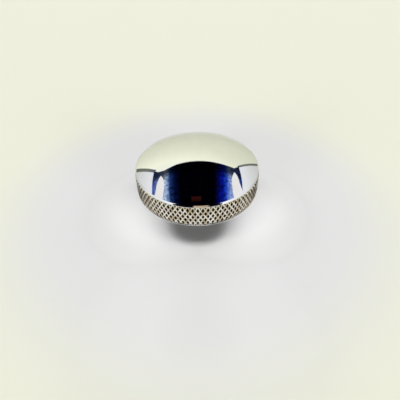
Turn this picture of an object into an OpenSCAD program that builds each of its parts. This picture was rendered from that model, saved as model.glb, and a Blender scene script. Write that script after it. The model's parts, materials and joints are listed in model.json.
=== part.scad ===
// Knurled knob, turned from one bar: a low polished dome, a rim with a diamond
// knurl, and a plain hub with a blind tapped hole in its end.
// It stands on its hub, +Z up, with the origin at the centre of the hub's end.

/* [Head] */
// Diameter over the ridges of the knurl
head_d = 25; // [20:0.5:40]
// Height of the rim, from its underside to the edge of the dome
rim_h = 5; // [3:0.1:10]
// Radius of the sphere that the dome is part of
dome_r = 25; // [22:0.5:80]
// Width of the bevel at the edge of the dome
dome_bevel = 0.25; // [0.05:0.05:0.6]
// Width of the bevel at the underside of the rim
rim_bevel = 0.15; // [0.05:0.05:0.5]
// Height of the plain land above the knurl, and of the one below it
land_h = 0.125; // [0.05:0.025:0.6]
// Step from the bottom of the pits out to the two lands
land_step = 0.25; // [0.1:0.01:0.3]

/* [Knurl] */
// Diamonds in each ring round the rim
knurl_count = 84; // [40:1:120]
// Angle between the ridges and the axis of the knob
knurl_angle = 30; // [20:1:45]
// Depth of the pits below the ridges
knurl_depth = 0.4; // [0.32:0.02:0.5]

/* [Hub] */
// Diameter of the hub
hub_d = 13; // [10:0.5:17]
// Length of the hub below the rim
hub_h = 5.5; // [3:0.5:15]
// Radius of the fillet between the hub and the rim
hub_fillet = 0.8; // [0.2:0.1:1.2]
// Width of the bevel at the hub's end
hub_bevel = 0.4; // [0.2:0.1:0.8]

/* [Tapped hole] */
// Outer diameter of the thread
thread_d = 6; // [4:0.5:8]
// Pitch of the thread
thread_pitch = 1; // [0.5:0.05:1.25]
// Depth of the hole, from the hub's end to the start of the drill point
hole_depth = 8.5; // [5:0.5:9]
// Angle of the drill point
drill_point = 118; // [90:1:140]
// Width of the countersink outside the thread
sink_margin = 0.3; // [0.1:0.1:0.6]

/* [Hidden] */
$fn = 96;

// Radii and heights of the turned form
ridge_r = head_d / 2;
pit_r = ridge_r - knurl_depth;
land_r = pit_r + land_step;
dome_edge_r = land_r - dome_bevel;
dome_edge_z = hub_h + rim_h;
dome_centre_z = dome_edge_z - sqrt(dome_r * dome_r - dome_edge_r * dome_edge_r);
band_low = hub_h + rim_bevel + land_h;
band_high = dome_edge_z - dome_bevel - land_h;
hub_r = hub_d / 2;

// The hole before tapping is as wide as the thread's crests
hole_r = (thread_d - thread_pitch) / 2;
sink_r = thread_d / 2 + sink_margin;
drill_tip_z = hole_depth + hole_r / tan(drill_point / 2);

// The knurl is a ring of its own on a core that it hides: ridges that cross, with
// a diamond-shaped pit in each mesh. Both of the ring's ends are tucked into the
// lands, where the ridges run out.
core_r = pit_r - knurl_depth;
ring_r = core_r - knurl_depth;
tuck = land_h * 0.6;
runout_r = pit_r + land_step / 2;

// Columns and rows of the knurl are half a diamond wide and half a diamond high.
// The rows are evened out so that a whole number of them fills the band.
columns = 2 * knurl_count;
column_angle = 360 / columns;
even_row_h = PI * ridge_r / knurl_count / tan(knurl_angle);
ring_h = band_high - band_low + 2 * tuck;
rows = max(2, round(ring_h / even_row_h));
row_h = ring_h / rows;

// The hidden inside of the ring is a plain prism with few sides
ring_sides = 24;

// Pits and crossings of the ridges take turns along every row and column
function is_pit(column, row) = (column + row) % 2 == 1;
function is_end(row) = row == 0 || row == rows;
function surface_r(column, row) =
    is_pit(column, row) ? pit_r : is_end(row) ? runout_r : ridge_r;

// Point at a radius, column and row, and the number of the knurl's own point there
function at(r, column, row) = [
    r * cos(column * column_angle),
    r * sin(column * column_angle),
    band_low - tuck + row * row_h
];
function index(column, row) = (column + columns) % columns + row * columns;

// Steps from a pit to the four crossings round it: right, up, left and down
steps = [[1, 0], [0, 1], [-1, 0], [0, -1]];

// Flanks of a pit: four, or the two inside the ring at its ends
function flanks(column, row) = [
    for (side = [0:3])
        let (a = steps[side], b = steps[(side + 1) % 4], low = min(a.y, b.y), high = max(a.y, b.y))
        if (row + low >= 0 && row + high <= rows)
            [index(column, row), index(column + b.x, row + b.y), index(column + a.x, row + a.y)]
];

// Column of the knurl that a corner of the ring's inside lines up with
function corner_column(corner) = round(corner * columns / ring_sides);

module knurl() {
    inside_low = columns * (rows + 1);
    inside_high = inside_low + ring_sides;
    points = concat(
        [for (row = [0:rows], column = [0:columns - 1])
            at(surface_r(column, row), column, row)],
        [for (row = [0, rows], corner = [0:ring_sides - 1])
            at(ring_r, corner_column(corner), row)]
    );
    faces = concat(
        [for (row = [0:rows], column = [0:columns - 1])
            if (is_pit(column, row)) each flanks(column, row)],
        [for (corner = [0:ring_sides - 1])
            let (
                next = (corner + 1) % ring_sides,
                edge = [for (column = [corner_column(corner):corner_column(corner + 1)]) column],
                back = [for (i = [len(edge) - 1:-1:0]) edge[i]]
            )
            each [
                concat([for (column = edge) index(column, 0)],
                    [inside_low + next, inside_low + corner]),
                concat([for (column = back) index(column, rows)],
                    [inside_high + corner, inside_high + next]),
                [inside_low + corner, inside_low + next, inside_high + next, inside_high + corner]
            ]]
    );
    polyhedron(points, faces);
}

// Half section of the knob as it leaves the lathe, with a plain core in the knurl's place
module turned_section() {
    intersection() {
        translate([0, dome_centre_z]) circle(dome_r);
        translate([0, band_high]) square([dome_edge_r, dome_r]);
    }
    polygon([
        [0, hub_h], [land_r - rim_bevel, hub_h], [land_r, hub_h + rim_bevel],
        [land_r, band_low], [core_r, band_low], [core_r, band_high],
        [land_r, band_high], [land_r, dome_edge_z - dome_bevel],
        [dome_edge_r, dome_edge_z], [0, dome_edge_z]
    ]);
    polygon([
        [0, 0], [hub_r - hub_bevel, 0], [hub_r, hub_bevel], [hub_r, hub_h], [0, hub_h]
    ]);
    difference() {
        translate([0, hub_h - hub_fillet]) square([hub_r + hub_fillet, hub_fillet]);
        translate([hub_r + hub_fillet, hub_h - hub_fillet]) circle(hub_fillet);
    }
}

// Half section of the blind hole, with its countersink and drill point
module hole_section() {
    polygon([
        [0, 0], [sink_r, 0], [hole_r, sink_r - hole_r], [hole_r, hole_depth], [0, drill_tip_z]
    ]);
}

module knob() {
    color("silver") {
        rotate_extrude()
            difference() {
                turned_section();
                hole_section();
            }
        knurl();
    }
}

knob();
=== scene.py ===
"""Looks of a chrome-plated knurled knob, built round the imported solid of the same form.

The knob is one closed surface of rings round its axis: a mirror dome, a rim with a diamond
knurl, a turned hub and a tapped hole. Its chrome shows a small photo box with a dark roof and
a long lamp at each side, because a mirror shows whatever stands round it.
"""

from __future__ import annotations

import json
import logging
import math
from dataclasses import dataclass
from enum import Enum
from typing import Any

import bpy
import numpy as np
from mathutils import Matrix, Quaternion, Vector

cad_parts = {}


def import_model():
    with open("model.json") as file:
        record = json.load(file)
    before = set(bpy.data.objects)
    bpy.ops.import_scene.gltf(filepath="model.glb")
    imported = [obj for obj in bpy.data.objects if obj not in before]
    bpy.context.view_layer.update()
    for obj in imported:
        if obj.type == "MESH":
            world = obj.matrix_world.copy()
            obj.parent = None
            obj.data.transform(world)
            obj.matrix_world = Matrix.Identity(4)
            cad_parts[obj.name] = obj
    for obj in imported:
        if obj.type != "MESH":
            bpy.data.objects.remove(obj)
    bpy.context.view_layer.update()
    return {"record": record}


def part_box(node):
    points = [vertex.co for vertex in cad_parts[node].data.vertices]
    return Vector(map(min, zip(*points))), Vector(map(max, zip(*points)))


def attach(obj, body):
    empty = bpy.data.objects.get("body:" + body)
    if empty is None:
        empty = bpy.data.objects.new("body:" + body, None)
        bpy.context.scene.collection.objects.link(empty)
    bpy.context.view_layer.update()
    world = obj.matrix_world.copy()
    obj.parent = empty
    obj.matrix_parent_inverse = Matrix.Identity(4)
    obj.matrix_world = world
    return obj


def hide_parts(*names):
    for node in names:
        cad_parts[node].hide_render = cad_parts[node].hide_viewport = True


LOG = logging.getLogger("knob")
MM = 0.001
Point = tuple[float, float, float]

# A Mix node's sockets go by number, because it repeats their names for each type of value
FACTOR = 0
FLOAT_A, FLOAT_B, FLOAT_MIX = 2, 3, 0
COLOUR_A, COLOUR_B, COLOUR_MIX = 6, 7, 2


def linear_rgb(hex_colour: str) -> tuple[float, float, float]:
    """Turn an sRGB hex colour into linear light.

    Args:
        hex_colour: Six hex digits, with or without a leading hash.

    Returns:
        Red, green and blue from 0 to 1.
    """
    digits = hex_colour.lstrip("#")
    srgb = np.array([int(digits[i : i + 2], 16) for i in (0, 2, 4)]) / 255.0
    linear = np.where(srgb <= 0.04045, srgb / 12.92, ((srgb + 0.055) / 1.055) ** 2.4)
    return tuple(float(channel) for channel in linear)


def linear_rgba(hex_colour: str) -> tuple[float, float, float, float]:
    """Give an sRGB hex colour as an opaque linear colour."""
    return (*linear_rgb(hex_colour), 1.0)


def add_node(
    tree: bpy.types.NodeTree,
    kind: str,
    inputs: dict[Any, Any] | None = None,
    **settings: Any,
) -> bpy.types.Node:
    """Add a shader node with its settings, input values and incoming links.

    Args:
        tree: Node tree that takes the node.
        kind: Blender's name for the kind of node.
        inputs: Socket name or number to a value, or to an output socket to link from.
        settings: Attributes of the node itself.

    Returns:
        The new node.
    """
    node = tree.nodes.new(kind)
    for name, value in settings.items():
        setattr(node, name, value)
    for name, value in (inputs or {}).items():
        if isinstance(value, bpy.types.NodeSocket):
            tree.links.new(value, node.inputs[name])
        else:
            node.inputs[name].default_value = value
    return node


def new_material(name: str) -> tuple[bpy.types.Material, bpy.types.NodeTree]:
    """Start a node material with nothing in it.

    Args:
        name: Name of the material.

    Returns:
        The material and its empty node tree.
    """
    material = bpy.data.materials.new(name)
    material.use_nodes = True
    material.node_tree.nodes.clear()
    return material, material.node_tree


class Finish(Enum):
    """The finishes of the knob's surface, in the order of the mesh's material slots."""

    POLISHED = 0
    KNURLED = 1
    TURNED = 2
    TAPPED = 3


@dataclass(frozen=True)
class MetalFinish:
    """A metal surface with lathe lines, clouds of duller tarnish, and soil and painted shade in its
    low places.

    Attributes:
        name: Name of the material.
        colour: Colour of the clean metal, as sRGB hex.
        tarnish: Colour of the metal where a cloud is thickest, as sRGB hex.
        edge: Tint of the metal at a grazing angle, as sRGB hex.
        soil_and_shade: Colour of the low places, which stands for dirt and for painted shade, as
            sRGB hex.
        roughness: Lowest and highest roughness over the cloudy pattern.
        cloud_size: Size of one cloud in metres.
        line_width: Width of one lathe line in metres.
        line_depth: Depth of the lathe lines in metres.
        soiled_roughness: Roughness at the bottom of the low places.
        gloss_clouds: Values of the cloudy pattern between which the roughness rises.
        tarnish_clouds: Values of the cloudy pattern between which the tarnish thickens.
    """

    name: str
    colour: str
    tarnish: str
    edge: str
    soil_and_shade: str
    roughness: tuple[float, float]
    cloud_size: float
    line_width: float
    line_depth: float
    soiled_roughness: float
    gloss_clouds: tuple[float, float] = (0.3, 0.7)
    tarnish_clouds: tuple[float, float] = (0.42, 0.66)

    def build(self) -> bpy.types.Material:
        """Make the node material.

        Returns:
            A metal whose lathe lines run round Z, and whose low places follow the mesh's
            own low_place attribute.
        """
        material, tree = new_material(self.name)
        place = add_node(tree, "ShaderNodeTexCoord").outputs["Object"]
        axes = add_node(tree, "ShaderNodeSeparateXYZ", {0: place})
        flat = add_node(
            tree, "ShaderNodeCombineXYZ", {"X": axes.outputs["X"], "Y": axes.outputs["Y"]}
        )
        radius = add_node(tree, "ShaderNodeVectorMath", {0: flat.outputs[0]}, operation="LENGTH")
        section = add_node(
            tree, "ShaderNodeCombineXYZ", {"X": radius.outputs["Value"], "Y": axes.outputs["Z"]}
        )
        clouds = add_node(
            tree,
            "ShaderNodeTexNoise",
            {"Vector": place, "Scale": 1.0 / self.cloud_size, "Detail": 3.0, "Roughness": 0.6},
        )
        lines = add_node(
            tree,
            "ShaderNodeTexNoise",
            {"Vector": section.outputs[0], "Scale": 1.0 / self.line_width, "Detail": 2.0},
        )
        low = add_node(tree, "ShaderNodeAttribute", attribute_name="low_place").outputs["Fac"]
        gloss = add_node(
            tree,
            "ShaderNodeMapRange",
            {
                "Value": clouds.outputs["Fac"],
                "From Min": self.gloss_clouds[0],
                "From Max": self.gloss_clouds[1],
                "To Min": self.roughness[0],
                "To Max": self.roughness[1],
            },
        )
        rough = add_node(
            tree,
            "ShaderNodeMix",
            {FACTOR: low, FLOAT_A: gloss.outputs["Result"], FLOAT_B: self.soiled_roughness},
            data_type="FLOAT",
        )
        cloudy = add_node(
            tree,
            "ShaderNodeMapRange",
            {
                "Value": clouds.outputs["Fac"],
                "From Min": self.tarnish_clouds[0],
                "From Max": self.tarnish_clouds[1],
            },
        )
        clean = add_node(
            tree,
            "ShaderNodeMix",
            {
                FACTOR: cloudy.outputs["Result"],
                COLOUR_A: linear_rgba(self.colour),
                COLOUR_B: linear_rgba(self.tarnish),
            },
            data_type="RGBA",
        )
        # Painted shade with some dirt: the low places turn towards the soil colour, standing in for
        # the shade that falls into pits and grooves.
        tint = add_node(
            tree,
            "ShaderNodeMix",
            {FACTOR: low, COLOUR_A: clean.outputs[COLOUR_MIX], COLOUR_B: linear_rgba(self.soil_and_shade)},
            data_type="RGBA",
        )
        bump = add_node(
            tree,
            "ShaderNodeBump",
            {"Strength": 1.0, "Distance": self.line_depth, "Height": lines.outputs["Fac"]},
        )
        metal = add_node(
            tree,
            "ShaderNodeBsdfPrincipled",
            {
                "Metallic": 1.0,
                "Base Color": tint.outputs[COLOUR_MIX],
                "Specular Tint": linear_rgba(self.edge),
                "Roughness": rough.outputs[FLOAT_MIX],
                "Normal": bump.outputs["Normal"],
            },
        )
        add_node(tree, "ShaderNodeOutputMaterial", {"Surface": metal.outputs[0]})
        return material


# Bright chrome plate over polished brass: a mirror with a faint haze from the last buffing.
POLISHED_CHROME = MetalFinish(
    name="polished_chrome_plate",
    colour="E5E6E7",
    tarnish="E3E4E5",
    edge="EAEAEA",
    soil_and_shade="A8A6A2",
    roughness=(0.02, 0.045),
    cloud_size=3.0 * MM,
    line_width=0.3 * MM,
    line_depth=0.00004 * MM,
    soiled_roughness=0.08,
)

# Chrome plate over a rolled knurl: bright ridges with some tarnish, and pits painted near black,
# partly dirt and partly painted shade.
KNURLED_CHROME = MetalFinish(
    name="knurled_chrome_plate",
    colour="FFFBEE",
    tarnish="BEAA88",
    edge="8C8C8C",
    # Near black in the pits: painted shade, with some dirt.
    soil_and_shade="1A140E",
    roughness=(0.05, 0.1),
    cloud_size=0.8 * MM,
    line_width=0.2 * MM,
    line_depth=0.0004 * MM,
    soiled_roughness=0.3,
)

# Chrome plate over a lathe-turned face: fine rings that spread the light across them. It is painted
# darker than bright chrome as painted shade under the rim, so it also throws less light into the
# shadow on the floor.
SHADED_TURNED_CHROME = MetalFinish(
    name="turned_chrome_plate_with_painted_shade",
    # Dark grey for chrome: painted shade on the underside and the hub.
    colour="A0A1A1",
    tarnish="969696",
    edge="FFFFFF",
    soil_and_shade="9C9A96",
    roughness=(0.1, 0.18),
    cloud_size=1.6 * MM,
    line_width=0.16 * MM,
    line_depth=0.0012 * MM,
    soiled_roughness=0.3,
)

# Brass cut by a tap: the plate hardly throws into a blind hole, so the metal shows.
TAPPED_BRASS = MetalFinish(
    name="tapped_brass",
    colour="BCA064",
    tarnish="AA8C50",
    edge="FFFFFF",
    soil_and_shade="6B5630",
    roughness=(0.2, 0.32),
    cloud_size=0.6 * MM,
    line_width=0.1 * MM,
    line_depth=0.0008 * MM,
    soiled_roughness=0.45,
)

FINISHES: dict[Finish, MetalFinish] = {
    Finish.POLISHED: POLISHED_CHROME,
    Finish.KNURLED: KNURLED_CHROME,
    Finish.TURNED: SHADED_TURNED_CHROME,
    Finish.TAPPED: TAPPED_BRASS,
}


@dataclass
class RingBlock:
    """A stack of rings with equally many points, ordered from the outside's top to its inside.

    Attributes:
        points: Array of rows, columns and coordinates.
        finish: Finish of the faces between these rings.
        low: How low each point lies, from 0 on the open surface to 1, in rows and columns.
        flip: For each face between the rings, whether its other diagonal divides it.
        first: Number of the block's first point in the whole mesh.
    """

    points: np.ndarray
    finish: Finish
    low: np.ndarray
    flip: np.ndarray | None = None
    first: int = 0

    @classmethod
    def plain(cls, points: np.ndarray, finish: Finish, low: float = 0.0) -> RingBlock:
        """Make a block of rings that lies equally low all over."""
        return cls(points, finish, np.full(points.shape[:2], low))

    def ring(self, row: int) -> np.ndarray:
        """Give the numbers of the points in one ring, counted from the end if negative."""
        rows, columns = self.points.shape[:2]
        return self.first + (row % rows) * columns + np.arange(columns)

    def faces(self) -> np.ndarray:
        """Divide the quads between neighbouring rings into triangles.

        Returns:
            Three point numbers for each triangle, facing outwards.
        """
        rows, columns = self.points.shape[:2]
        numbers = self.first + np.arange(rows * columns).reshape(rows, columns)
        upper, lower = numbers[:-1], numbers[1:]
        upper_next, lower_next = np.roll(upper, -1, axis=1), np.roll(lower, -1, axis=1)
        flip = np.zeros(upper.shape, bool) if self.flip is None else self.flip
        one = np.stack([upper, lower, np.where(flip, upper_next, lower_next)], -1)
        two = np.stack([np.where(flip, lower, upper), lower_next, upper_next], -1)
        return np.concatenate([one.reshape(-1, 3), two.reshape(-1, 3)])


def bridge(upper: np.ndarray, lower: np.ndarray) -> np.ndarray:
    """Join two rings whose numbers of points are equal, or divide one another.

    Each side of the finer ring makes a triangle with the nearest point of the coarser one,
    and each side of the coarser ring makes one with the fine point at its middle.

    Args:
        upper: Point numbers of the ring that comes first.
        lower: Point numbers of the ring that follows it.

    Returns:
        Three point numbers for each triangle, facing outwards.
    """
    swapped = len(upper) > len(lower)
    coarse, fine = (lower, upper) if swapped else (upper, lower)
    ratio = len(fine) // len(coarse)
    side = np.arange(len(fine))
    nearest = coarse[((side + (ratio + 1) // 2) // ratio) % len(coarse)]
    triangles = np.stack([nearest, fine, np.roll(fine, -1)], -1)
    if len(coarse) > 1:
        middle = fine[np.arange(len(coarse)) * ratio + ratio // 2]
        gaps = np.stack([coarse, middle, np.roll(coarse, -1)], -1)
        triangles = np.concatenate([triangles, gaps])
    return triangles[:, ::-1] if swapped else triangles


def eased(corners: np.ndarray, trim: float, steps: int) -> np.ndarray:
    """Round every inner corner of an outline with a short curve.

    The curve is the parabola that touches both sides of the corner at one distance from it.

    Args:
        corners: Radius and height of each corner, in order.
        trim: Distance from a corner at which its curve starts and ends.
        steps: Sides of each curve.

    Returns:
        Radius and height of each point of the rounded outline.
    """
    legs = np.diff(corners, axis=0)
    legs /= np.linalg.norm(legs, axis=1, keepdims=True)
    middle = corners[1:-1]
    start, end = middle - trim * legs[:-1], middle + trim * legs[1:]
    t = np.linspace(0.0, 1.0, steps + 1)[None, :, None]
    curves = (1 - t) ** 2 * start[:, None] + 2 * t * (1 - t) * middle[:, None] + t**2 * end[:, None]
    return np.concatenate([corners[:1], curves.reshape(-1, 2), corners[-1:]])


def ring_points(radius: np.ndarray, azimuth: np.ndarray, height: np.ndarray) -> np.ndarray:
    """Give the points at a radius from the Z axis, an angle round it and a height.

    Args:
        radius: Radius of each row, or of each point.
        azimuth: Angle of each column, in radians.
        height: Height of each row.

    Returns:
        Array of rows, columns and coordinates.
    """
    return np.stack([radius * np.cos(azimuth), radius * np.sin(azimuth), height + 0 * azimuth], -1)


def revolved(outline: np.ndarray, columns: int) -> np.ndarray:
    """Carry an outline round the Z axis.

    Args:
        outline: Radius and height of each point.
        columns: Points in each ring.

    Returns:
        Array of rows, columns and coordinates.
    """
    azimuth = np.arange(columns) * (2 * math.pi / columns)
    return ring_points(outline[:, :1], azimuth, outline[:, 1:])


def smooth_mesh(
    name: str, points: np.ndarray, triangles: np.ndarray, crease: float = 12.0
) -> bpy.types.Mesh:
    """Make a mesh from triangles, smooth but for its creases.

    Args:
        name: Name of the mesh.
        points: Coordinates of the points.
        triangles: Three point numbers for each triangle.
        crease: Angle in degrees above which an edge stays sharp.

    Returns:
        The new mesh.
    """
    mesh = bpy.data.meshes.new(name)
    mesh.from_pydata(points.tolist(), [], triangles.tolist())
    mesh.validate()
    mesh.polygons.foreach_set("use_smooth", np.ones(len(mesh.polygons), bool))
    mesh.set_sharp_from_angle(angle=math.radians(crease))
    mesh.update()
    return mesh


@dataclass
class Knob:
    """The turned and knurled knob, with the solid's own form and its lengths in metres.

    Attributes:
        ridge_radius: Radius over the solid's sharp ridges, from the frame.
        top: Height of the dome's top, from the frame.
        hole_radius: Radius of the hole inside the thread, from the frame.
        hub_radius: Radius of the hub.
        hub_height: Length of the hub below the rim.
        hub_fillet: Radius of the fillet between the hub and the rim.
        hub_bevel: Width of the bevel at the hub's end.
        rim_height: Height of the rim, up to the edge of the dome.
        rim_bevel: Width of the bevel at the underside of the rim.
        dome_bevel: Width of the bevel at the edge of the dome.
        land_height: Height of the plain land above the knurl, and of the one below it.
        land_step: Step from the bottom of the pits out to the lands.
        knurl_depth: Depth of the pits below the sharp ridges.
        knurl_count: Diamonds round the rim.
        knurl_rows: Half diamonds from one end of the knurl to the other.
        knurl_tuck: How far each end of the knurl is tucked into its land.
        ridge_cut: Share of the depth by which the ridges are cut flat.
        flank_gain: How much steeper the flanks are than those between sharp ridges.
        soil_and_shade_from: Height in the knurl where soil and painted shade start, as a share of
            its depth.
        soil_and_shade_full: Height in the knurl below which soil and painted shade cover all.
        thread_pitch: Pitch of the thread.
        thread_fade: Length over which the thread fades out towards the drill point.
        groove_depth: Depth of the thread's groove, in pitches.
        groove_mouth: Half the width of the groove at its mouth, in pitches.
        groove_floor: Half the width of the groove at its bottom, in pitches.
        groove_darkening: How far the bottom of the groove turns to the finish's low-place colour.
        hole_depth: Depth of the hole, up to the drill point.
        sink_radius: Radius of the countersink at the hub's end.
        drill_half_angle: Half the angle of the drill point, in degrees.
        tip_darkening: How far the tip of the drill point turns to the finish's low-place colour.
        edge_ease: Distance from an edge at which its easing starts.
        ease_steps: Sides of an eased edge.
        dome_steps: Rings of the dome.
        fillet_steps: Sides of the fillet.
        thread_steps: Rings in one pitch of the thread.
        row_steps: Rings in half a diamond of the knurl.
        columns: Points in a plain ring.
    """

    ridge_radius: float
    top: float
    hole_radius: float
    hub_radius: float = 6.5 * MM
    hub_height: float = 5.5 * MM
    hub_fillet: float = 0.8 * MM
    hub_bevel: float = 0.4 * MM
    rim_height: float = 5.0 * MM
    rim_bevel: float = 0.15 * MM
    dome_bevel: float = 0.25 * MM
    land_height: float = 0.125 * MM
    land_step: float = 0.25 * MM
    knurl_depth: float = 0.4 * MM
    knurl_count: int = 84
    knurl_rows: int = 6
    knurl_tuck: float = 0.075 * MM
    ridge_cut: float = 1 / 6
    flank_gain: float = 1.25
    soil_and_shade_from: float = 0.76
    soil_and_shade_full: float = 0.5
    thread_pitch: float = 1.0 * MM
    thread_fade: float = 1.5 * MM
    groove_depth: float = 0.541
    groove_mouth: float = 0.375
    groove_floor: float = 0.0625
    groove_darkening: float = 0.7
    hole_depth: float = 8.5 * MM
    sink_radius: float = 3.3 * MM
    drill_half_angle: float = 59.0
    tip_darkening: float = 0.5
    edge_ease: float = 0.03 * MM
    ease_steps: int = 5
    dome_steps: int = 48
    fillet_steps: int = 10
    thread_steps: int = 12
    row_steps: int = 6
    columns: int = 168

    @property
    def pit_radius(self) -> float:
        """Radius at the bottom of the knurl's pits."""
        return self.ridge_radius - self.knurl_depth

    @property
    def land_radius(self) -> float:
        """Radius of the plain lands above and below the knurl."""
        return self.pit_radius + self.land_step

    @property
    def dome_edge(self) -> tuple[float, float]:
        """Radius and height of the dome's edge."""
        return self.land_radius - self.dome_bevel, self.hub_height + self.rim_height

    @property
    def band(self) -> tuple[float, float]:
        """Lowest and highest point of the knurl between the two lands."""
        low = self.hub_height + self.rim_bevel + self.land_height
        return low, self.dome_edge[1] - self.dome_bevel - self.land_height

    def dome_block(self) -> list[RingBlock]:
        """Build the dome, an arc from its top to its edge carried round the axis.

        Returns:
            The point at the top, and the rings below it.
        """
        edge_radius, edge_height = self.dome_edge
        rise = self.top - edge_height
        sphere = (edge_radius**2 + rise**2) / (2 * rise)
        slope = np.linspace(0.0, math.asin(edge_radius / sphere), self.dome_steps + 1)[1:]
        arc = np.stack([sphere * np.sin(slope), self.top - sphere * (1 - np.cos(slope))], -1)
        tip = np.array([[[0.0, 0.0, self.top]]])
        return [
            RingBlock.plain(tip, Finish.POLISHED),
            RingBlock.plain(revolved(arc, self.columns), Finish.POLISHED),
        ]

    def upper_land_block(self) -> RingBlock:
        """Build the bevel at the dome's edge and the plain land under it.

        Their outline, with its edges eased, is carried round the axis.

        Returns:
            Rings from the dome's edge down to the knurl.
        """
        edge_radius, edge_height = self.dome_edge
        corners = np.array(
            [
                [edge_radius, edge_height],
                [self.land_radius, edge_height - self.dome_bevel],
                [self.land_radius, self.band[1]],
            ]
        )
        outline = eased(corners, self.edge_ease, self.ease_steps)[1:]
        return RingBlock.plain(revolved(outline, self.columns), Finish.POLISHED)

    def net_height(self, turn: np.ndarray, row: np.ndarray) -> np.ndarray:
        """Give the height of the endless knurl as a share of its depth.

        Two families of ridges cross where both a = turn + row / 2 and b = turn - row / 2 are
        whole numbers, and leave diamond-shaped pits between them. A flank falls evenly from the
        nearer ridge, so the height is one less twice the smaller distance of a and b from a
        whole number.

        Args:
            turn: Place round the rim, counted in diamonds.
            row: Place up the rim, counted in half diamonds from the ring's lower end.

        Returns:
            Height from 0 in a pit to 1 on a ridge.
        """
        a, b = turn + row / 2, turn - row / 2
        return 1 - 2 * np.minimum(np.abs(a - np.round(a)), np.abs(b - np.round(b)))

    def runout(self, turn: np.ndarray, row: np.ndarray) -> np.ndarray:
        """Give how far the knurl runs out at its ends, as a share of its depth.

        The crossings on the two ends of the ring are lower, and the flanks round such a
        crossing fall with it: its share in their height is one less the larger of the
        distances across and up to it.

        Args:
            turn: Place round the rim, counted in diamonds.
            row: Place up the rim, counted in half diamonds from the ring's lower end.

        Returns:
            Height to take off the endless knurl.
        """
        across = 2 * np.abs(turn - np.round(turn))
        across_top = across if self.knurl_rows % 2 == 0 else 1 - across
        share = np.clip(1 - np.maximum(across, row), 0, 1)
        share = share + np.clip(1 - np.maximum(across_top, self.knurl_rows - row), 0, 1)
        return (1 - self.land_step / 2 / self.knurl_depth) * share

    def knurl_block(self) -> RingBlock:
        """Build the knurl on a grid that follows its ridges.

        The ridges are cut flat, and their flanks a little steeper to keep the pits as deep.

        Returns:
            Rings from the upper land down to the lower one, whose diagonals follow the ridges.
        """
        low, high = self.band
        pitch_steps = 2 * self.row_steps
        columns = self.knurl_count * pitch_steps
        row_height = (high - low + 2 * self.knurl_tuck) / self.knurl_rows
        step = np.arange(self.knurl_rows * self.row_steps - 1, 0, -1)
        heights = low - self.knurl_tuck + step * row_height / self.row_steps
        heights = np.concatenate([[high], heights, [low]])[:, None]
        column = np.arange(columns)[None, :]
        row = (heights - low + self.knurl_tuck) / row_height
        turn = column / pitch_steps
        net = self.net_height(turn, row)
        shape = np.minimum(self.flank_gain * net, 1 - self.ridge_cut) - self.runout(turn, row)
        radius = self.pit_radius + self.knurl_depth * shape
        points = ring_points(radius, column * (2 * math.pi / columns), heights)
        turn_mid = (column + 0.5) / pitch_steps
        row_mid = (row[:-1] + row[1:]) / 2
        a, b = turn_mid + row_mid / 2, turn_mid - row_mid / 2
        flip = np.abs(b - np.round(b)) < np.abs(a - np.round(a))
        # Painted shade with some dirt in the pits: the lower a point lies below the ridges, the
        # darker it is.
        soil_and_shade = np.clip((self.soil_and_shade_from - net) / (self.soil_and_shade_from - self.soil_and_shade_full), 0, 1)
        return RingBlock(points, Finish.KNURLED, soil_and_shade, flip)

    def rim_edge_block(self) -> RingBlock:
        """Build the lower land and the bevel at the underside of the rim.

        Their outline, with its edges eased, is carried round the axis.

        Returns:
            Rings from the knurl down to the underside of the rim.
        """
        corners = np.array(
            [
                [self.land_radius, self.band[0]],
                [self.land_radius, self.hub_height + self.rim_bevel],
                [self.land_radius - self.rim_bevel, self.hub_height],
            ]
        )
        outline = eased(corners, self.edge_ease, self.ease_steps)
        return RingBlock.plain(revolved(outline, self.columns), Finish.POLISHED)

    def lower_block(self) -> RingBlock:
        """Build the underside of the rim, and the hub down to its countersink.

        The outline, a quarter circle for the fillet and then the hub with its edges eased, is
        carried round the axis.

        Returns:
            Rings from the fillet's upper end to the countersink.
        """
        fillet_turn = np.linspace(0.0, math.pi / 2, self.fillet_steps + 1)
        fillet_radius = self.hub_radius + self.hub_fillet * (1 - np.sin(fillet_turn))
        fillet_height = self.hub_height - self.hub_fillet * (1 - np.cos(fillet_turn))
        hub = np.array(
            [
                [fillet_radius[-1], fillet_height[-1]],
                [self.hub_radius, self.hub_bevel],
                [self.hub_radius - self.hub_bevel, 0.0],
                [self.sink_radius, 0.0],
            ]
        )
        fillet = np.stack([fillet_radius, fillet_height], -1)
        outline = np.concatenate([fillet, eased(hub, self.edge_ease, self.ease_steps)[1:]])
        return RingBlock.plain(revolved(outline, self.columns), Finish.TURNED)

    def thread_block(self) -> list[RingBlock]:
        """Build the countersink, the thread and the drill point.

        The thread is a groove that climbs one pitch for each turn: its depth depends on the
        distance from the middle of the groove, counted in pitches, and it fades out towards the
        drill point. The countersink cuts it off where its cone is wider.

        Returns:
            Rings up the hole, and the point at the drill's tip.
        """
        rows = round(self.hole_depth / self.thread_pitch * self.thread_steps)
        height = np.linspace(0.0, self.hole_depth, rows + 1)[1:, None]
        turn = np.arange(self.columns)[None, :] / self.columns
        phase = height / self.thread_pitch - turn
        distance = np.abs(phase - np.floor(phase) - 0.5)
        flank = self.groove_mouth - self.groove_floor
        fade = np.clip((self.hole_depth - height) / self.thread_fade, 0, 1)
        groove = fade * np.clip((self.groove_mouth - distance) / flank, 0, 1)
        thread = self.hole_radius + self.groove_depth * self.thread_pitch * groove
        cone = self.sink_radius - height
        points = ring_points(np.maximum(cone, thread), turn * 2 * math.pi, height)
        tip = self.hole_depth + self.hole_radius / math.tan(math.radians(self.drill_half_angle))
        return [
            # Darker towards the bottom of the groove, and at the drill's tip.
            RingBlock(points, Finish.TAPPED, self.groove_darkening * groove),
            RingBlock.plain(np.array([[[0.0, 0.0, tip]]]), Finish.TAPPED, self.tip_darkening),
        ]

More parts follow.
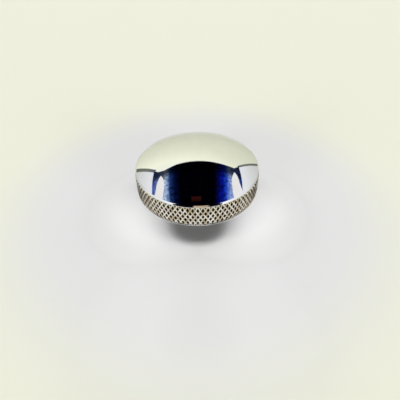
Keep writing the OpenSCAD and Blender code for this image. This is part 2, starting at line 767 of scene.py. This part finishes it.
    def build(self) -> bpy.types.Object:
        """Join the blocks of rings into one closed mesh and dress it.

        Returns:
            The finished piece, with its place in its mesh.
        """
        blocks = [
            *self.dome_block(),
            self.upper_land_block(),
            self.knurl_block(),
            self.rim_edge_block(),
            self.lower_block(),
            *self.thread_block(),
        ]
        first = 0
        for block in blocks:
            block.first = first
            first += block.low.size
        faces, finishes = [], []
        for block, following in zip(blocks, blocks[1:] + [None]):
            parts = [(block.faces(), block.finish)]
            if following is not None:
                parts.append((bridge(block.ring(-1), following.ring(0)), following.finish))
            for triangles, finish in parts:
                faces.append(triangles)
                finishes.append(np.full(len(triangles), finish.value))
        points = np.concatenate([block.points.reshape(-1, 3) for block in blocks])
        low = np.concatenate([block.low.ravel() for block in blocks])
        mesh = smooth_mesh("knob_surface", points, np.concatenate(faces))
        mesh.polygons.foreach_set("material_index", np.concatenate(finishes).astype(np.int32))
        attribute = mesh.attributes.new("low_place", "FLOAT", "POINT")
        attribute.data.foreach_set("value", low.astype(np.float32))
        for finish in Finish:
            mesh.materials.append(FINISHES[finish].build())
        piece = bpy.data.objects.new("knob_body", mesh)
        bpy.context.scene.collection.objects.link(piece)
        return piece


class Ray(Enum):
    """The kinds of ray that a stage piece can be hidden from, by the object's own setting."""

    CAMERA = "visible_camera"
    DIFFUSE = "visible_diffuse"
    GLOSSY = "visible_glossy"
    SHADOW = "visible_shadow"


def put_on_stage(mesh: bpy.types.Mesh, hidden_from: tuple[Ray, ...] = ()) -> None:
    """Put a mesh into the scene, under the mesh's own name.

    Args:
        mesh: The mesh, with its place in it.
        hidden_from: The kinds of ray that pass through it.
    """
    stage_piece = bpy.data.objects.new(mesh.name, mesh)
    for ray in hidden_from:
        setattr(stage_piece, ray.value, False)
    bpy.context.scene.collection.objects.link(stage_piece)


@dataclass(frozen=True)
class Card:
    """A flat panel of the photo box, which glows and shows in the chrome alone.

    Attributes:
        name: Name of the panel.
        corners: Its corners in order, in metres.
        stops: Place along the ramp from 0 to 1, with the colour there as sRGB hex.
        strength: Factor on the colours.
        ramp_from: Point where the ramp starts.
        ramp_to: Point where the ramp ends.
        fade: Two places along Y between which the glow falls off, if it does.
        faded: Share of the glow that is left beyond them.
        patch: Size of the patches in the glow in metres, if it has any.
        patch_limits: Values of their pattern between which the glow rises.
        patch_glow: Factors on the glow at these values.
    """

    name: str
    corners: tuple[Point, ...]
    stops: tuple[tuple[float, str], ...]
    strength: float
    ramp_from: Point
    ramp_to: Point
    fade: tuple[float, float] | None = None
    faded: float = 0.1
    patch: float | None = None
    patch_limits: tuple[float, float] = (0.32, 0.68)
    patch_glow: tuple[float, float] = (0.3, 1.5)

    def build(self) -> None:
        """Make the panel and its glow, and put it on the stage."""
        mesh = bpy.data.meshes.new(self.name)
        mesh.from_pydata(list(self.corners), [], [tuple(range(len(self.corners)))])
        mesh.materials.append(self.glow())
        put_on_stage(mesh, (Ray.CAMERA, Ray.DIFFUSE, Ray.SHADOW))

    def glow(self) -> bpy.types.Material:
        """Make the panel's material, whose colour runs from one point to another.

        Returns:
            A glow that may fade along Y and be patchy.
        """
        material, tree = new_material(self.name + "_glow")
        place = add_node(tree, "ShaderNodeTexCoord").outputs["Object"]
        run = Vector(self.ramp_to) - Vector(self.ramp_from)
        offset = add_node(
            tree, "ShaderNodeVectorMath", {0: place, 1: self.ramp_from}, operation="SUBTRACT"
        )
        share = add_node(
            tree,
            "ShaderNodeVectorMath",
            {0: offset.outputs[0], 1: run / run.length_squared},
            operation="DOT_PRODUCT",
        )
        ramp = add_node(tree, "ShaderNodeValToRGB", {"Fac": share.outputs["Value"]})
        elements = ramp.color_ramp.elements
        while len(elements) < len(self.stops):
            elements.new(0.5)
        for element, (position, colour) in zip(elements, self.stops):
            element.position = position
            element.color = linear_rgba(colour)
        strength: float | bpy.types.NodeSocket = self.strength
        if self.fade is not None:
            depth = add_node(tree, "ShaderNodeSeparateXYZ", {0: place}).outputs["Y"]
            falloff = {"From Min": self.fade[0], "From Max": self.fade[1]}
            falloff |= {"To Min": self.strength, "To Max": self.faded * self.strength}
            strength = add_node(
                tree,
                "ShaderNodeMapRange",
                {"Value": depth, **falloff},
                interpolation_type="SMOOTHSTEP",
            ).outputs["Result"]
        if self.patch is not None:
            cells = add_node(
                tree,
                "ShaderNodeTexNoise",
                {"Vector": place, "Scale": 1 / self.patch, "Detail": 3.0, "Distortion": 0.6},
            )
            uneven = add_node(
                tree,
                "ShaderNodeMapRange",
                {
                    "Value": cells.outputs["Fac"],
                    "From Min": self.patch_limits[0],
                    "From Max": self.patch_limits[1],
                    "To Min": self.patch_glow[0],
                    "To Max": self.patch_glow[1],
                },
            )
            strength = add_node(
                tree,
                "ShaderNodeMath",
                {0: strength, 1: uneven.outputs["Result"]},
                operation="MULTIPLY",
            ).outputs[0]
        glow = add_node(
            tree, "ShaderNodeEmission", {"Color": ramp.outputs["Color"], "Strength": strength}
        )
        add_node(tree, "ShaderNodeOutputMaterial", {"Surface": glow.outputs[0]})
        return material


def upright(
    start: tuple[float, float], end: tuple[float, float], low: float, high: float
) -> tuple[Point, ...]:
    """Give the corners of an upright panel.

    Args:
        start: Place of one end along X and Y.
        end: Place of the other end.
        low: Height of the lower edge.
        high: Height of the upper edge.

    Returns:
        The four corners in order.
    """
    return ((*start, low), (*end, low), (*end, high), (*start, high))


@dataclass(frozen=True)
class FloorLight:
    """A soft light one metre from the knob, which lights the floor and is hidden from the chrome.

    Attributes:
        name: Name of the light.
        azimuth: Direction it comes from, in degrees from +Y towards +X.
        elevation: Its height above the floor, in degrees.
        size: Width and height, in metres.
        power: Power in watts.
    """

    name: str
    azimuth: float
    elevation: float
    size: tuple[float, float]
    power: float

    def build(self) -> None:
        """Place the light, turned to the knob."""
        light = bpy.data.lights.new(self.name, "AREA")
        light.shape = "RECTANGLE"
        light.size, light.size_y = self.size
        light.energy = self.power
        turn, rise = math.radians(self.azimuth), math.radians(self.elevation)
        place = Vector(
            (math.cos(rise) * math.sin(turn), math.cos(rise) * math.cos(turn), math.sin(rise))
        )
        lamp = bpy.data.objects.new(self.name, light)
        facing = (-place).to_track_quat("-Z", "Y").to_matrix().to_4x4()
        lamp.matrix_world = Matrix.Translation(place) @ facing
        lamp.visible_glossy = False
        lamp.visible_camera = False
        bpy.context.scene.collection.objects.link(lamp)


@dataclass(frozen=True)
class PaleFloor:
    """The plain matt floor, near white round the knob and cream further out.

    Beside the knob, and faintly in front of it, light is painted into its colour to make it paler,
    which makes up for the half-shadows of the soft lights.

    Attributes:
        reach: Distance that the floor reaches to each side, in metres.
        near: Colour round the knob, as sRGB hex.
        far: Colour further out, as sRGB hex.
        change: Distances from the axis between which one turns into the other.
        pale: Colour of the light painted into the paler places, as sRGB hex.
        side_spot: Middle of the paler place at the right; the one at the left mirrors it.
        side_limits: Distances from that middle at which its share is none and full.
        side_share: Full share of the pale colour at the sides.
        shadow_spot: Middle of the place in front of the hub that stays as it is.
        shadow_limits: Distances from that middle at which the sides' share is none and full.
        front_spot: Middle of a fainter pale place in front of the knob.
        front_limits: Distances from that middle at which its share is none and full.
        front_share: Full share of the pale colour in front.
    """

    reach: float = 3.0
    near: str = "C3C3C3"
    far: str = "CBCCBD"
    change: tuple[float, float] = (28 * MM, 48 * MM)
    pale: str = "FBFBFB"
    side_spot: Point = (8 * MM, -2.5 * MM, 0)
    side_limits: tuple[float, float] = (15.5 * MM, 0)
    side_share: float = 0.9
    shadow_spot: Point = (0, -8 * MM, 0)
    shadow_limits: tuple[float, float] = (4 * MM, 8 * MM)
    front_spot: Point = (0, -30 * MM, 0)
    front_limits: tuple[float, float] = (20 * MM, 8 * MM)
    front_share: float = 0.15

    def build(self) -> None:
        """Lay the floor and put it on the stage."""
        reach = self.reach
        corners = [(-reach, -reach, 0), (reach, -reach, 0), (reach, reach, 0), (-reach, reach, 0)]
        mesh = bpy.data.meshes.new("floor")
        mesh.from_pydata(corners, [], [(0, 1, 2, 3)])
        mesh.materials.append(self.board())
        put_on_stage(mesh)

    @staticmethod
    def share(
        place: bpy.types.NodeSocket,
        spot: Point,
        limits: tuple[float, float],
        full: float = 1.0,
    ) -> bpy.types.NodeSocket:
        """Work out a share that changes evenly with the distance from a spot.

        Args:
            place: Socket that gives the place on the floor.
            spot: Point that the distance is taken from.
            limits: Distances at which the share is none and full.
            full: The full share.

        Returns:
            Socket that gives the share.
        """
        tree = place.id_data
        apart = add_node(tree, "ShaderNodeVectorMath", {0: place, 1: spot}, operation="DISTANCE")
        ends = {"From Min": limits[0], "From Max": limits[1], "To Max": full}
        share = add_node(tree, "ShaderNodeMapRange", {"Value": apart.outputs["Value"], **ends})
        return share.outputs["Result"]

    def board(self) -> bpy.types.Material:
        """Make the floor's material, matt board whose tint follows the place on it, with light
        painted in beside and in front of the knob.

        Returns:
            The material.
        """
        material, tree = new_material("matt_board_with_painted_light")
        place = add_node(tree, "ShaderNodeTexCoord").outputs["Object"]
        radius = add_node(tree, "ShaderNodeVectorMath", {0: place}, operation="LENGTH")
        ends = {"From Min": self.change[0], "From Max": self.change[1]}
        outside = add_node(
            tree,
            "ShaderNodeMapRange",
            {"Value": radius.outputs["Value"], **ends},
            interpolation_type="SMOOTHSTEP",
        )
        tint = add_node(
            tree,
            "ShaderNodeMix",
            {
                FACTOR: outside.outputs["Result"],
                COLOUR_A: linear_rgba(self.near),
                COLOUR_B: linear_rgba(self.far),
            },
            data_type="RGBA",
        )
        mirrored = add_node(tree, "ShaderNodeVectorMath", {0: place}, operation="ABSOLUTE")
        across = add_node(tree, "ShaderNodeSeparateXYZ", {0: mirrored.outputs[0]}).outputs["X"]
        depth = add_node(tree, "ShaderNodeSeparateXYZ", {0: place}).outputs["Y"]
        folded = add_node(tree, "ShaderNodeCombineXYZ", {"X": across, "Y": depth}).outputs[0]
        beside = self.share(folded, self.side_spot, self.side_limits, self.side_share)
        clear = self.share(place, self.shadow_spot, self.shadow_limits)
        front = self.share(place, self.front_spot, self.front_limits, self.front_share)
        # Painted light: paler beside the knob and faintly in front of it, but not where the shadow
        # in front of the hub falls.
        sides = add_node(tree, "ShaderNodeMath", {0: beside, 1: clear}, operation="MINIMUM")
        painted_light_share = add_node(
            tree, "ShaderNodeMath", {0: sides.outputs[0], 1: front}, operation="MAXIMUM"
        )
        shade = add_node(
            tree,
            "ShaderNodeMix",
            {
                FACTOR: painted_light_share.outputs[0],
                COLOUR_A: tint.outputs[COLOUR_MIX],
                COLOUR_B: linear_rgba(self.pale),
            },
            data_type="RGBA",
        )
        board = add_node(tree, "ShaderNodeBsdfDiffuse", {"Color": shade.outputs[COLOUR_MIX]})
        add_node(tree, "ShaderNodeOutputMaterial", {"Surface": board.outputs[0]})
        return material


@dataclass(frozen=True)
class Backdrop:
    """A plain ring of pale cloth round the floor, which only the camera sees.

    Attributes:
        distance: Distance of the cloth from the axis, in metres.
        height: Height of the cloth, in metres.
        colour: Its colour, as sRGB hex.
        columns: Points round the ring.
    """

    distance: float = 0.35
    height: float = 0.6
    colour: str = "EDEEE0"
    columns: int = 96

    def build(self) -> None:
        """Carry an upright line round the axis, and put the cloth on the stage."""
        line = np.array([[self.distance, self.height], [self.distance, 0.0]])
        ring = RingBlock.plain(revolved(line, self.columns), Finish.TURNED)
        mesh = smooth_mesh("backdrop", ring.points.reshape(-1, 3), ring.faces())
        material, tree = new_material("pale_cloth")
        glow = add_node(tree, "ShaderNodeEmission", {"Color": linear_rgba(self.colour)})
        add_node(tree, "ShaderNodeOutputMaterial", {"Surface": glow.outputs[0]})
        mesh.materials.append(material)
        put_on_stage(mesh, (Ray.GLOSSY, Ray.DIFFUSE, Ray.SHADOW))


@dataclass(frozen=True)
class PhotoBox:
    """An open-fronted box of pale cloth round the knob, with a dark roof and two long lamps.

    Attributes:
        back: Distance of the back wall from the knob's axis.
        back_top: Height of the back wall, which reaches above the roof's rear edge.
        sides: Places of the left and right walls along X.
        side_tops: Heights of those walls, which leave a gap under the roof.
        roof: Height of the roof.
        roof_side: Distance that the roof reaches to each side.
        roof_edge: Rear edge of the roof, as places along X and Y.
        hem: Width of the white hem along that edge.
        hem_reach: Distance that the hem reaches to each side.
        front: Distance to the front.
        flap_low: Height of the lower edge of the dark flap over the front.
        seams: Widths of the dark seams at the left and right back corners.
        layer: Gap between panels that lie on each other.
        red_edges: Left, right, near and far edge of the red patch on the roof.
        left_lamp: Outline of the left lamp on the roof, a leaf with its point at the back.
        right_lamp: Outline of the right lamp.
        lights: The lights on the floor; the panels are what the chrome shows.
        room: Colour of the room outside, as sRGB hex.
        room_glow: Strength of the light from the room.
    """

    back: float = 0.20
    back_top: float = 0.30
    sides: tuple[float, float] = (-0.193, 0.169)
    side_tops: tuple[float, float] = (0.222, 0.197)
    roof: float = 0.24
    roof_side: float = 0.25
    roof_edge: tuple[tuple[float, float], ...] = (
        (-0.25, 0.205),
        (-0.185, 0.186),
        (-0.160, 0.177),
        (-0.144, 0.171),
        (-0.117, 0.178),
        (-0.084, 0.187),
        (-0.030, 0.191),
        (0.030, 0.194),
        (0.143, 0.198),
        (0.176, 0.205),
        (0.25, 0.215),
    )
    hem: float = 0.005
    hem_reach: float = 0.15
    front: float = 0.20
    flap_low: float = 0.012
    seams: tuple[float, float] = (0.013, 0.008)
    layer: float = 1.0 * MM
    red_edges: tuple[float, float, float, float] = (-0.024, 0.014, -0.036, -0.014)
    left_lamp: tuple[tuple[float, float], ...] = (
        (-0.156, 0.139),
        (-0.142, 0.112),
        (-0.135, 0.080),
        (-0.136, 0.045),
        (-0.144, 0.015),
        (-0.158, -0.030),
        (-0.170, -0.200),
        (-0.225, -0.200),
        (-0.205, 0.010),
        (-0.184, 0.051),
        (-0.176, 0.092),
        (-0.166, 0.122),
    )
    right_lamp: tuple[tuple[float, float], ...] = (
        (0.164, 0.163),
        (0.177, 0.145),
        (0.187, 0.100),
        (0.210, 0.045),
        (0.225, -0.200),
        (0.175, -0.200),
        (0.160, -0.020),
        (0.147, 0.030),
        (0.142, 0.068),
        (0.142, 0.101),
        (0.152, 0.135),
    )
    lights: tuple[FloorLight, ...] = (
        FloorLight("back_light", 0, 8, (0.6, 0.15), 13.9),
        FloorLight("left_front_light", -140, 15, (0.35, 0.15), 2.86),
        FloorLight("right_front_light", 140, 15, (0.35, 0.15), 2.86),
        FloorLight("left_light", -76, 45, (0.4, 0.3), 3.36),
        FloorLight("right_light", 76, 45, (0.4, 0.3), 3.36),
        FloorLight("top_light", 180, 82, (1.2, 0.25), 7.6),
    )
    room: str = "E6DDCE"
    room_glow: float = 0.01

    def build(self) -> None:
        """Build the panels, the lights and the room outside."""
        panels = [
            self.back_wall(),
            self.front_flap(),
            self.dark_roof(),
            self.roof_hem(),
            self.red_patch(),
            *self.side_walls(),
            *self.lamp_faces(),
        ]
        for panel in panels:
            panel.build()
        for light in self.lights:
            light.build()
        world = bpy.data.worlds.new("room")
        world.use_nodes = True
        background = world.node_tree.nodes["Background"]
        background.inputs["Color"].default_value = linear_rgba(self.room)
        background.inputs["Strength"].default_value = self.room_glow
        bpy.context.scene.world = world

    def back_wall(self) -> Card:
        """Give the cream back wall, brighter upwards.

        Returns:
            The panel.
        """
        left, right = self.sides
        return Card(
            name="back_wall",
            corners=upright((left, self.back), (right, self.back), 0, self.back_top),
            stops=((0.0, "CBCDB7"), (0.4, "D8D9C3"), (0.75, "ECEDD7"), (1.0, "E6E7DA")),
            strength=1.35,
            ramp_from=(0.06, 0, 0),
            ramp_to=(-0.06, 0, self.back_top),
        )

    def front_flap(self) -> Card:
        """Give the dark flap over the front, with a warm gap at its middle.

        Returns:
            The panel.
        """
        left, right = self.sides
        return Card(
            name="front_flap",
            corners=upright((left, -self.front), (right, -self.front), self.flap_low, self.roof),
            stops=(
                (0.0, "0C080A"),
                (0.44, "0C080A"),
                (0.48, "D2BA9C"),
                (0.7, "C4AC8C"),
                (0.76, "0C080A"),
                (1.0, "0C080A"),
            ),
            strength=1.0,
            ramp_from=(left, 0, 0),
            ramp_to=(right, 0, 0),
        )

    def side_walls(self) -> list[Card]:
        """List the white side walls and the dark seams where they meet the back wall.

        Returns:
            A wall and a seam at the left, and then at the right.
        """
        cards = []
        hands = ("left", "right")
        for hand, x, top, seam in zip(hands, self.sides, self.side_tops, self.seams):
            inward = -math.copysign(1, x)
            at_back = (x + inward * seam, self.back - self.layer)
            at_side = (x + inward * self.layer, self.back - seam)
            cards.append(
                Card(
                    name=hand + "_wall",
                    corners=upright((x, self.back), (x, -self.front), 0, top),
                    stops=((0.0, "CACBC6"), (0.5, "D0D1CE"), (0.9, "E6E7E8"), (1.0, "E0E4F0")),
                    strength=1.5,
                    ramp_from=(0, 0, 0),
                    ramp_to=(0, 0, top),
                    fade=(0.0, 0.04),
                    faded=0.8,
                )
            )
            cards.append(
                Card(
                    name=hand + "_seam",
                    corners=upright(at_back, at_side, 0, top),
                    stops=((0.0, "62665A"), (0.7, "7E8276"), (0.93, "70747A"), (1.0, "2A3460")),
                    strength=1.0,
                    ramp_from=(0, 0, 0),
                    ramp_to=(0, 0, top),
                )
            )
        return cards

    def dark_roof(self) -> Card:
        """Give the black roof, which the two lamps tint blue beside them.

        Returns:
            The panel.
        """
        edge = tuple((x, y, self.roof) for x, y in self.roof_edge)
        return Card(
            name="dark_roof",
            corners=(
                *edge,
                (self.roof_side, -self.front, self.roof),
                (-self.roof_side, -self.front, self.roof),
            ),
            stops=(
                (0.0, "2A3C8C"),
                (0.1, "5068B8"),
                (0.18, "8CA4DC"),
                (0.23, "C4D2EE"),
                (0.255, "8CAAD6"),
                (0.28, "1E3A76"),
                (0.32, "060F34"),
                (0.37, "010106"),
                (0.635, "010106"),
                (0.67, "060A56"),
                (0.705, "041A9C"),
                (0.74, "2A50C8"),
                (0.775, "A0B8F0"),
                (0.87, "5A78D0"),
                (0.9, "3C54B2"),
                (1.0, "203080"),
            ),
            strength=1.0,
            ramp_from=(-self.roof_side, 0, 0),
            ramp_to=(self.roof_side, 0, 0),
            fade=(0.085, 0.15),
            patch=0.016,
        )

    def roof_hem(self) -> Card:
        """Give the white hem along the rear edge of the roof.

        Returns:
            The panel.
        """
        edge = tuple((x, y, self.roof) for x, y in self.roof_edge if abs(x) < self.hem_reach)
        rear = tuple((x, y + self.hem, z) for x, y, z in reversed(edge))
        return Card(
            name="roof_hem",
            corners=(*edge, *rear),
            stops=((0.3, "F4F5F0"), (0.5, "DEDFD2"), (0.7, "F4F5F0")),
            strength=1.25,
            ramp_from=(-self.roof_side, 0, 0),
            ramp_to=(self.roof_side, 0, 0),
        )

    def red_patch(self) -> Card:
        """Give the dim red patch on the roof, just in front of its middle.

        Returns:
            The panel.
        """
        left, right, near, far = self.red_edges
        height = self.roof - self.layer
        return Card(
            name="red_patch",
            corners=(
                (left, near, height),
                (right, near, height),
                (right, far, height),
                (left, far, height),
            ),
            stops=((0.0, "220908"), (0.8, "34120F"), (1.0, "180706")),
            strength=1.0,
            ramp_from=(0, near, 0),
            ramp_to=(0, far, 0),
        )

    def lamp_faces(self) -> list[Card]:
        """List the glowing faces of the two lamps.

        Returns:
            The left panel and the right one.
        """
        return [
            Card(
                name=name,
                corners=tuple((x, y, self.roof - 2 * self.layer) for x, y in leaf),
                stops=((0.0, "F4F1EE"), (1.0, "F6F4F2")),
                strength=1.1,
                ramp_from=(0, -self.front, 0),
                ramp_to=(0, self.back, 0),
            )
            for name, leaf in (("left_lamp", self.left_lamp), ("right_lamp", self.right_lamp))
        ]


@dataclass(frozen=True)
class PhotoCamera:
    """The camera at the photograph's viewing angle, aimed by one point of the knob.

    Attributes:
        elevation: Angle of the line of sight to the aim above the floor, in degrees.
        roll: Turn of the frame about that line, in degrees.
        distance: Distance to the aim, in metres.
        aim_pixel: Where the aim is in the frame, in pixels from its top left corner.
        frame: Width and height of the square frame, in pixels.
        focal: Focal length, in pixels.
        sensor: Width of the sensor, in millimetres.
        clip: Nearest and furthest distance that is seen, in metres.
    """

    elevation: float = 37.1
    roll: float = -0.94
    distance: float = 80.5 * MM
    aim_pixel: tuple[float, float] = (197.05, 164.75)
    frame: float = 400.0
    focal: float = 400.0
    sensor: float = 36.0
    clip: tuple[float, float] = (1.0 * MM, 10.0)

    def build(self, aim: Vector) -> None:
        """Place the camera and make it the scene's own.

        Args:
            aim: Point of the knob that stands at the aim's pixel.
        """
        rise = math.radians(self.elevation)
        back = Vector((0, -math.cos(rise), math.sin(rise)))
        half = self.frame / 2
        seen = Vector(
            ((self.aim_pixel[0] - half) / self.focal, (half - self.aim_pixel[1]) / self.focal, -1)
        )
        look = (-back).to_track_quat("-Z", "Y")
        level = Quaternion((0, 0, 1), math.radians(self.roll))
        offset = seen.rotation_difference(Vector((0, 0, -1)))
        turn = look @ level @ offset
        data = bpy.data.cameras.new("photo_camera")
        data.sensor_width = self.sensor
        data.lens = self.sensor * self.focal / self.frame
        data.clip_start, data.clip_end = self.clip
        camera = bpy.data.objects.new("photo_camera", data)
        place = Matrix.Translation(aim + back * self.distance)
        camera.matrix_world = place @ turn.to_matrix().to_4x4()
        bpy.context.scene.collection.objects.link(camera)
        bpy.context.scene.camera = camera


def main() -> None:
    """Load the frame, build the knob and its studio, and log the knob's number of triangles."""
    logging.basicConfig(level=logging.INFO, format="%(name)s: %(message)s")
    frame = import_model()
    low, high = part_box("knob")
    hole = next(m for m in frame["record"]["mounts"] if m["name"] == "tapped_hole")
    knob = Knob(
        ridge_radius=(high.x - low.x) / 2,
        top=high.z,
        hole_radius=hole["dims"]["r_mm"] * MM,
    )
    PhotoCamera().build(Vector((0, 0, knob.dome_edge[1])))
    PaleFloor().build()
    Backdrop().build()
    PhotoBox().build()
    piece = knob.build()
    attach(piece, "root")
    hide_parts("knob")
    LOG.info("%s: %d triangles", piece.name, len(piece.data.polygons))
    bpy.context.scene.view_settings.view_transform = "Standard"


if __name__ == "__main__":
    main()
